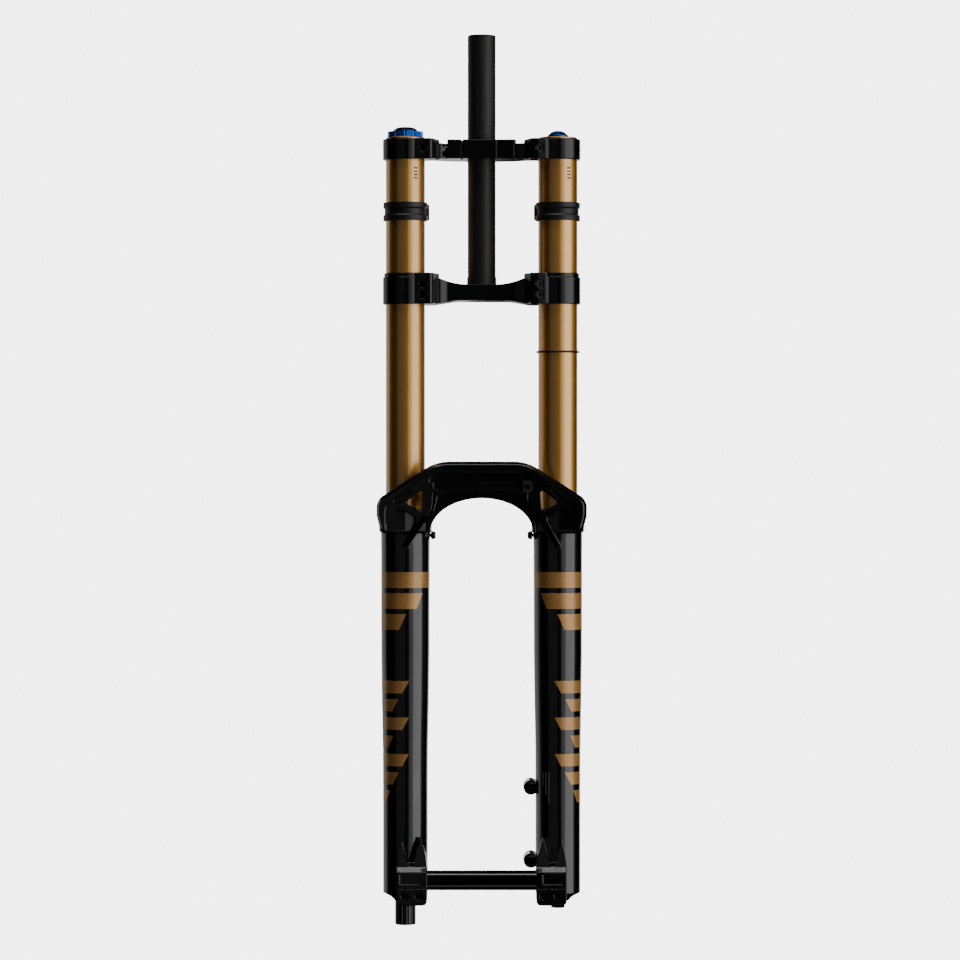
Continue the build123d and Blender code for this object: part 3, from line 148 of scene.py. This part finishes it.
def steerer_anodised():
    """Drawn steerer tube in satin black, with the long streaks that drawing leaves."""
    material, tree, shader, place = finish_of("drawn_black_anodised", "#111110", 0.5)
    streak = grain(tree, place, 1.5, (1.0, 1.0, 0.02), 3.0)
    tinted(tree, shader, ranged(tree, streak, 0.0, 1.0), "#0d0d0c", "#141413")
    tree.links.new(ranged(tree, streak, 0.46, 0.56), shader.inputs["Roughness"])
    return material


def axle_anodised():
    """Ground axle in gloss black: hard, narrow highlights along its length."""
    material, tree, shader, place = finish_of("gloss_black_anodised", "#050506", 0.1)
    turned = grain(tree, place, 0.8, (1.0, 0.2, 0.2), 2.0)
    tinted(tree, shader, ranged(tree, turned, 0.0, 1.0), "#040405", "#070708")
    tree.links.new(ranged(tree, turned, 0.07, 0.13), shader.inputs["Roughness"])
    return material


def gloss_black():
    """Cast magnesium under gloss black lacquer: deep black and wet, its cast edges rounded."""
    material, tree, shader, place = finish_of("gloss_black_lacquer", "#040405", 0.3, 0.0, 1.0, 0.05)
    shader.inputs["Specular IOR Level"].default_value = 0.25
    peel = grain(tree, place, 4.0, detail=1.0)
    cloud = grain(tree, place, 25.0)
    tinted(tree, shader, ranged(tree, cloud, 0.0, 1.0), "#030304", "#060607")
    eased(tree, shader, peel, 0.02, 0.04, 1.5)
    return material


def blue_anodised():
    """Turned aluminium, anodised bright blue: glossy, with turning rings."""
    material, tree, shader, place = finish_of("bright_blue_anodised", "#1c5cc0", 0.3, 1.0)
    turned = grain(tree, place, 0.6, (0.3, 0.3, 1.0), 2.0)
    tinted(tree, shader, ranged(tree, turned, 0.0, 1.0), "#1650b4", "#2a6ee0")
    tree.links.new(ranged(tree, turned, 0.24, 0.36), shader.inputs["Roughness"])
    return material


def black_rubber():
    """Moulded rubber: dark and dull, with a fine sooty bloom."""
    material, tree, shader, place = finish_of("moulded_black_rubber", "#0b0b0b", 0.45)
    bloom = grain(tree, place, 1.2, detail=5.0)
    tinted(tree, shader, ranged(tree, bloom, 0.0, 1.0), "#080808", "#101010")
    tree.links.new(ranged(tree, bloom, 0.38, 0.55), shader.inputs["Roughness"])
    eased(tree, shader, bloom, 0.08, 0.04, 0.6)
    return material


def black_oxide():
    """Black-oxide steel screws: oily dark grey."""
    material, tree, shader, place = finish_of("black_oxide_steel", "#1b1c1e", 0.28, 0.85)
    speck = grain(tree, place, 0.7)
    tinted(tree, shader, ranged(tree, speck, 0.0, 1.0), "#151617", "#26272a")
    tree.links.new(ranged(tree, speck, 0.22, 0.36), shader.inputs["Roughness"])
    return material


def turned_metal(name, dark, light, low, high):
    """Turned bare metal with fine rings in its roughness."""
    material, tree, shader, place = finish_of(name, light, low, 1.0)
    turned = grain(tree, place, 0.5, (0.3, 0.3, 1.0), 2.0)
    tinted(tree, shader, ranged(tree, turned, 0.0, 1.0), dark, light)
    tree.links.new(ranged(tree, turned, low, high), shader.inputs["Roughness"])
    return material


def moulded(name, dark, light, low, high):
    """Moulded plastic or foam with a fine texture."""
    material, tree, shader, place = finish_of(name, light, low)
    texture = grain(tree, place, 0.8, detail=4.0)
    tinted(tree, shader, ranged(tree, texture, 0.0, 1.0), dark, light)
    tree.links.new(ranged(tree, texture, low, high), shader.inputs["Roughness"])
    bumped(tree, shader, texture, 0.2, 0.05)
    return material


FINISHES = {
    "bronze_anodised": bronze_anodised(),
    "black_anodised": black_anodised(),
    "gloss_black_paint": gloss_black(),
    "blue_anodised": blue_anodised(),
    "black_rubber": black_rubber(),
    "black_bolt_steel": black_oxide(),
    # Bright zinc-plated steel: cool grey, slightly soft
    "bare_steel": turned_metal("bright_plated_steel", "#9a9b9d", "#b9babd", 0.22, 0.34),
    # Ground hard chrome: near-mirror
    "shaft_chrome": turned_metal("ground_hard_chrome", "#c4c6ca", "#d6d8db", 0.06, 0.12),
    # Sintered bronze under a PTFE film: dull brown-grey
    "bushing_liner": turned_metal("sintered_bronze_liner", "#6c5a45", "#84705a", 0.42, 0.55),
    "valve_brass": turned_metal("turned_brass", "#b08a45", "#c9a25a", 0.22, 0.32),
    "plain_aluminium": turned_metal("turned_aluminium", "#a9abae", "#c2c4c6", 0.24, 0.36),
    "spacer_plastic": moulded("orange_acetal", "#b85a16", "#d06a1e", 0.38, 0.5),
    "black_plastic": moulded("black_nylon", "#121213", "#1c1c1d", 0.45, 0.6),
    "oiled_foam": moulded("oiled_foam", "#1b1b1a", "#30302d", 0.7, 0.85),
}
OWN_FINISH = {"steerer_tube": steerer_anodised(), "axle": axle_anodised()}


def dress_cad_nodes():
    """Give every CAD node its finish."""
    slots = {part["node"]: part["material_slot"] for part in frame["record"]["subparts"]}
    for name, piece in frame["nodes"].items():
        material = OWN_FINISH.get(name, FINISHES[slots[name]])
        for slot in piece.material_slots:
            slot.material = material


dress_cad_nodes()


# ---------------------------------------------------------------- graphics on the legs

def etched_mark():
    """Laser-etched mark: dark brown and duller than the film round it."""
    material, tree, shader, place = finish_of("laser_etched_mark", "#2a1c0c", 0.5, 0.4)
    speck = grain(tree, place, 0.5, detail=2.0)
    tinted(tree, shader, ranged(tree, speck, 0.0, 1.0), "#22160a", "#33230f")
    return material


def gold_film():
    """Printed gold film under the lacquer: flat metallic ink, softer than the tubes."""
    material, tree, shader, place = finish_of("gold_printed_film", "#bd8a4a", 0.42, 0.35, 0.6, 0.06)
    flake = grain(tree, place, 0.8, detail=2.0)
    tinted(tree, shader, ranged(tree, flake, 0.0, 1.0), "#b48142", "#c89653")
    tree.links.new(ranged(tree, flake, 0.36, 0.48), shader.inputs["Roughness"])
    return material


def grey_film():
    """Thin grey printed lines."""
    material, tree, shader, place = finish_of("grey_printed_film", "#4a4b4c", 0.4, 0.0, 0.6, 0.06)
    flake = grain(tree, place, 0.8, detail=2.0)
    tinted(tree, shader, ranged(tree, flake, 0.0, 1.0), "#4a4b4c", "#5c5d5e")
    return material


FILM = 0.09              # how far a printed film stands proud, mm
REACH = 60.0             # where the rays that lay a film start, from the tube's axis, mm
LEG_WRAP_R = 24.0        # radius that turns millimetres across a leg into an angle
GRAPHIC_TOP = 310.5      # upper block of slanted bars, heights above the axle
BAR_H = 16.0
BAR_PITCH = 21.2
BAR_LENGTHS = (74.0, 56.0, 38.0)
SLANT = 7.0
COLUMN_TOP = 200.5       # lower column of slanted bars
COLUMN_BAR_H = 12.6
COLUMN_PITCH = 18.5
COLUMN_LENGTHS = (41.0, 30.0, 41.0, 24.0, 41.0, 30.0, 20.0)
OUTER_EDGE = 37.0        # across a leg's front, from its middle outwards
LINE_EDGE = -9.5         # thin lines beside the bars: edge of the first, across from the leg's middle
LINE_TOP = 108.0
LINE_W = 1.6
LINE_PITCH = 3.6
LINE_H = 32.0            # the first line; each next one is shorter by LINE_STEP
LINE_STEP = 9.0
LINE_COUNT = 3
MARK_TOP = 720.5         # four short ticks near the top of each stanchion
MARK_ASIDE = 11.5
MARK_W = 4.4
MARK_H = 1.3
MARK_PITCH = 3.4
MARK_COUNT = 4
CARD_COLUMNS = 36        # how finely one bar is cut, so that it follows the tube
CARD_ROWS = 4
WELD = 0.01              # points of a film closer than this are joined, mm
SHARP_ANGLE = radians(35)


def film_tree():
    """Geometry tree that lays slanted bars on a round surface, one for each point of the base mesh.

    A point's place is the bar's outer edge (x, across) and top (y, height) in mm; its attributes
    bar_length, bar_height and bar_slant are in mm too.
    """
    tree = bpy.data.node_groups.new("slanted_film_bars", "GeometryNodeTree")
    sockets = tree.interface
    sockets.new_socket("Bars", in_out="INPUT", socket_type="NodeSocketGeometry")
    sockets.new_socket("Surface", in_out="INPUT", socket_type="NodeSocketObject")
    sockets.new_socket("Axis", in_out="INPUT", socket_type="NodeSocketVector")
    for name in ("Side", "Wrap Radius", "Reach", "Film"):
        sockets.new_socket(name, in_out="INPUT", socket_type="NodeSocketFloat")
    sockets.new_socket("Material", in_out="INPUT", socket_type="NodeSocketMaterial")
    sockets.new_socket("Film Bars", in_out="OUTPUT", socket_type="NodeSocketGeometry")
    given = add(tree, "NodeGroupInput").outputs
    card = add(tree, "GeometryNodeMeshGrid", {
        "Size X": 1.0, "Size Y": 1.0, "Vertices X": CARD_COLUMNS, "Vertices Y": CARD_ROWS})
    marked = add(tree, "GeometryNodeStoreNamedAttribute", {
        "Geometry": card.outputs["Mesh"], "Name": "on_card",
        "Value": add(tree, "GeometryNodeInputPosition").outputs[0]}, data_type="FLOAT_VECTOR")
    based = add(tree, "GeometryNodeStoreNamedAttribute", {
        "Geometry": given["Bars"], "Name": "corner",
        "Value": add(tree, "GeometryNodeInputPosition").outputs[0]}, data_type="FLOAT_VECTOR")
    cards = add(tree, "GeometryNodeInstanceOnPoints", {
        "Points": based.outputs["Geometry"], "Instance": marked.outputs["Geometry"]})
    sheet = add(tree, "GeometryNodeRealizeInstances", {"Geometry": cards.outputs["Instances"]})
    on_card = add(tree, "ShaderNodeSeparateXYZ", {0: add(
        tree, "GeometryNodeInputNamedAttribute", {"Name": "on_card"}, data_type="FLOAT_VECTOR").outputs[0]})
    corner = add(tree, "ShaderNodeSeparateXYZ", {0: add(
        tree, "GeometryNodeInputNamedAttribute", {"Name": "corner"}, data_type="FLOAT_VECTOR").outputs[0]})
    length, height, slant = [
        add(tree, "GeometryNodeInputNamedAttribute", {"Name": name}, data_type="FLOAT").outputs[0]
        for name in ("bar_length", "bar_height", "bar_slant")]
    inward = add(tree, "ShaderNodeMath", {0: 0.5, 1: on_card.outputs["X"]}, operation="SUBTRACT").outputs[0]
    down = add(tree, "ShaderNodeMath", {0: 0.5, 1: on_card.outputs["Y"]}, operation="SUBTRACT").outputs[0]
    cut = add(tree, "ShaderNodeMath", {0: slant, 1: down}, operation="MULTIPLY").outputs[0]
    row = add(tree, "ShaderNodeMath", {0: length, 1: cut}, operation="SUBTRACT").outputs[0]
    back = add(tree, "ShaderNodeMath", {0: inward, 1: row}, operation="MULTIPLY").outputs[0]
    across = add(tree, "ShaderNodeMath", {0: corner.outputs["X"], 1: back}, operation="SUBTRACT").outputs[0]
    drop = add(tree, "ShaderNodeMath", {0: height, 1: down}, operation="MULTIPLY").outputs[0]
    level = add(tree, "ShaderNodeMath", {0: corner.outputs["Y"], 1: drop}, operation="SUBTRACT").outputs[0]
    level_m = add(tree, "ShaderNodeMath", {0: level, 1: MM}, operation="MULTIPLY").outputs[0]
    angle = add(tree, "ShaderNodeMath", {0: across, 1: given["Wrap Radius"]}, operation="DIVIDE").outputs[0]
    sine = add(tree, "ShaderNodeMath", {0: angle}, operation="SINE").outputs[0]
    cosine = add(tree, "ShaderNodeMath", {0: angle}, operation="COSINE").outputs[0]
    out_x = add(tree, "ShaderNodeMath", {0: sine, 1: given["Side"]}, operation="MULTIPLY").outputs[0]
    out_y = add(tree, "ShaderNodeMath", {0: cosine, 1: -1.0}, operation="MULTIPLY").outputs[0]
    outward = add(tree, "ShaderNodeCombineXYZ", {"X": out_x, "Y": out_y}).outputs[0]
    reach = add(tree, "ShaderNodeVectorMath", {
        0: outward, "Scale": given["Reach"]}, operation="SCALE").outputs[0]
    lift = add(tree, "ShaderNodeCombineXYZ", {"Z": level_m}).outputs[0]
    centre = add(tree, "ShaderNodeVectorMath", {0: given["Axis"], 1: lift}, operation="ADD").outputs[0]
    start = add(tree, "ShaderNodeVectorMath", {0: centre, 1: reach}, operation="ADD").outputs[0]
    aim = add(tree, "ShaderNodeVectorMath", {0: outward, "Scale": -1.0}, operation="SCALE").outputs[0]
    surface = add(tree, "GeometryNodeObjectInfo", {"Object": given["Surface"]})
    hit = add(tree, "GeometryNodeRaycast", {
        "Target Geometry": surface.outputs["Geometry"], "Source Position": start, "Ray Direction": aim,
        "Ray Length": given["Reach"]}).outputs["Hit Position"]
    proud = add(tree, "ShaderNodeVectorMath", {
        0: outward, "Scale": given["Film"]}, operation="SCALE").outputs[0]
    over = add(tree, "ShaderNodeVectorMath", {0: hit, 1: proud}, operation="ADD").outputs[0]
    under = add(tree, "ShaderNodeVectorMath", {0: hit, 1: proud}, operation="SUBTRACT").outputs[0]
    inner = add(tree, "GeometryNodeSetPosition", {"Geometry": sheet.outputs["Geometry"], "Position": under})
    thick = add(tree, "ShaderNodeVectorMath", {0: over, 1: under}, operation="SUBTRACT").outputs[0]
    skin = add(tree, "GeometryNodeExtrudeMesh", {
        "Mesh": inner.outputs["Geometry"], "Offset": thick, "Offset Scale": 1.0,
        "Individual": False}, mode="FACES")
    turned = add(tree, "GeometryNodeFlipFaces", {"Mesh": inner.outputs["Geometry"]})
    both = add(tree, "GeometryNodeJoinGeometry", {"Geometry": skin.outputs["Mesh"]})
    tree.links.new(turned.outputs["Mesh"], both.inputs["Geometry"])
    closed = add(tree, "GeometryNodeMergeByDistance", {
        "Geometry": both.outputs["Geometry"], "Distance": WELD * MM})
    whole = add(tree, "GeometryNodeRealizeInstances", {"Geometry": closed.outputs["Geometry"]})
    dressed = add(tree, "GeometryNodeSetMaterial", {
        "Geometry": whole.outputs["Geometry"], "Material": given["Material"]})
    add(tree, "NodeGroupOutput", {"Film Bars": dressed.outputs["Geometry"]})
    return tree


FILM_TREE = film_tree()


def film_bars(name, bars, surface, side, body, material, wrap_r):
    """Printed bars on one tube; each bar is (outer edge, top, length, height, slant) in mm."""
    base = bpy.data.meshes.new(name)
    base.from_pydata([(bar[0], bar[1], 0) for bar in bars], [], [])
    for column, attribute in enumerate(("bar_length", "bar_height", "bar_slant")):
        values = base.attributes.new(attribute, "FLOAT", "POINT")
        values.data.foreach_set("value", [bar[2 + column] for bar in bars])
    maker = bpy.data.objects.new(name + "_maker", base)
    bpy.context.scene.collection.objects.link(maker)
    modifier = maker.modifiers.new("bars", "NODES")
    modifier.node_group = FILM_TREE
    given = {
        "Surface": frame["nodes"][surface], "Axis": (side * LEG_X, LEG_Y, AXLE_Z), "Side": float(side),
        "Wrap Radius": wrap_r, "Reach": REACH * MM, "Film": FILM * MM, "Material": material}
    for socket in FILM_TREE.interface.items_tree:
        if socket.name in given:
            modifier[socket.identifier] = given[socket.name]
    seen = maker.evaluated_get(bpy.context.evaluated_depsgraph_get())
    made = bpy.data.meshes.new_from_object(seen)
    bpy.data.objects.remove(maker)
    for face in made.polygons:
        face.use_smooth = True
    made.set_sharp_from_angle(angle=SHARP_ANGLE)
    for attribute in [a.name for a in made.attributes if a.name in ("on_card", "corner")]:
        made.attributes.remove(made.attributes[attribute])
    piece = bpy.data.objects.new(name, made)
    bpy.context.scene.collection.objects.link(piece)
    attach(piece, body)


def graphics():
    """Plain slanted gold bars down both legs, thin grey lines beside them, and short ticks on the tubes."""
    gold, grey, etch = gold_film(), grey_film(), etched_mark()
    upper = [(OUTER_EDGE, GRAPHIC_TOP - i * BAR_PITCH, length, BAR_H, SLANT)
             for i, length in enumerate(BAR_LENGTHS)]
    column = [(OUTER_EDGE, COLUMN_TOP - i * COLUMN_PITCH, length, COLUMN_BAR_H, SLANT)
              for i, length in enumerate(COLUMN_LENGTHS)]
    lines = [(LINE_EDGE - i * LINE_PITCH, LINE_TOP, LINE_W, LINE_H - LINE_STEP * i, 0.0)
             for i in range(LINE_COUNT)]
    for label, side in SIDES.items():
        film_bars(f"leg_graphic_{label}", upper + column, "lower_casting", side, "lowers", gold,
                  LEG_WRAP_R)
        film_bars(f"leg_lines_{label}", lines, "lower_casting", side, "lowers", grey,
                  LEG_WRAP_R)
        tube = "damper_stanchion" if side < 0 else "air_stanchion"
        marks = [(side * MARK_ASIDE + MARK_W / 2, MARK_TOP - MARK_PITCH * i, MARK_W, MARK_H, 0.0)
                 for i in range(MARK_COUNT)]
        film_bars(f"stanchion_marks_{label}", marks, tube, side, "uppers", etch,
                  STANCHION_R / MM)


graphics()


# ---------------------------------------------------------------- studio

def area_light(name, place, target, width, height, power):
    """White rectangular soft box aimed at a point, hidden from the camera."""
    data = bpy.data.lights.new(name, "AREA")
    data.shape = "RECTANGLE"
    data.size, data.size_y = width, height
    data.energy = power
    light = bpy.data.objects.new(name, data)
    light.location = place
    aim = Vector(target) - Vector(place)
    light.rotation_euler = aim.to_track_quat("-Z", "Y").to_euler()
    light.visible_camera = False
    bpy.context.scene.collection.objects.link(light)


def floor():
    """Plain pale round floor under the fork; it lets the low lights through."""
    radius, level, glow = 0.7, -0.78, 1.6
    mesh = bmesh.new()
    bmesh.ops.create_circle(mesh, cap_ends=True, segments=96, radius=radius)
    data = bpy.data.meshes.new("floor")
    mesh.to_mesh(data)
    mesh.free()
    sheet = bpy.data.objects.new("floor", data)
    sheet.location = (0, 0, level)
    bpy.context.scene.collection.objects.link(sheet)
    material, _, shader, _ = finish_of("pale_paper", "#f4f4f2", 0.9)
    shader.inputs["Emission Color"].default_value = linear("#ffffff")
    shader.inputs["Emission Strength"].default_value = glow
    data.materials.append(material)
    sheet.visible_glossy = False
    sheet.visible_diffuse = False
    sheet.visible_shadow = False


def camera():
    """Long lens level with the arch, straight ahead of the fork."""
    distance, lens, level, aside = 4.0, 147.5, -0.199, -0.0017
    data = bpy.data.cameras.new("camera")
    data.lens = lens
    data.sensor_width = 36
    view = bpy.data.objects.new("camera", data)
    view.location = (aside, LEG_Y - distance, level)
    view.rotation_euler = (radians(90), 0, 0)
    bpy.context.scene.collection.objects.link(view)
    bpy.context.scene.camera = view


def facing_light(name, azimuth, distance, width, low, high, radiance):
    """Tall soft box at an angle round the fork: 0 is straight ahead of it, 90 the rider's left."""
    turn = radians(azimuth)
    middle = (low + high) / 2
    place = (distance * sin(turn), LEG_Y - distance * cos(turn), middle)
    height = high - low
    area_light(name, place, (0, LEG_Y, middle), width, height, radiance * pi * width * height)


def studio():
    """Broad soft boxes right of the camera, weak ones in front and behind, and thin top and low lights."""
    facing_light("key_outer", 62, 2.3, 2.1, -1.3, 1.1, 1.5)
    facing_light("key_inner", 50, 2.6, 3.3, -1.3, 1.1, 0.75)
    facing_light("left_back", -125, 2.0, 1.4, -1.2, 1.0, 0.55)
    facing_light("front_fill", -25, 3.0, 2.6, -1.3, 1.1, 0.12)
    facing_light("back_right", 160, 2.6, 1.2, -1.2, 1.2, 1.6)
    facing_light("back_left", -165, 2.6, 1.4, -1.2, 1.2, 0.9)
    area_light("top_box", (0.1, -0.55, 1.9), (0.1, -0.55, 0), 2.0, 0.7, 24)
    area_light("low_strip", (0.0, -0.3, -1.1), (0, -0.3, 0), 1.2, 0.3, 0.6)


def surroundings():
    """Pale background that the camera sees; it casts no light of its own on the fork."""
    brightness = 5.0
    world = bpy.data.worlds.new("studio")
    world.use_nodes = True
    shade = world.node_tree.nodes["Background"]
    shade.inputs["Color"].default_value = linear("#ffffff")
    shade.inputs["Strength"].default_value = brightness
    seen = world.cycles_visibility
    seen.camera = True
    seen.diffuse = seen.glossy = seen.transmission = seen.scatter = False
    bpy.context.scene.world = world


camera()
floor()
studio()
surroundings()
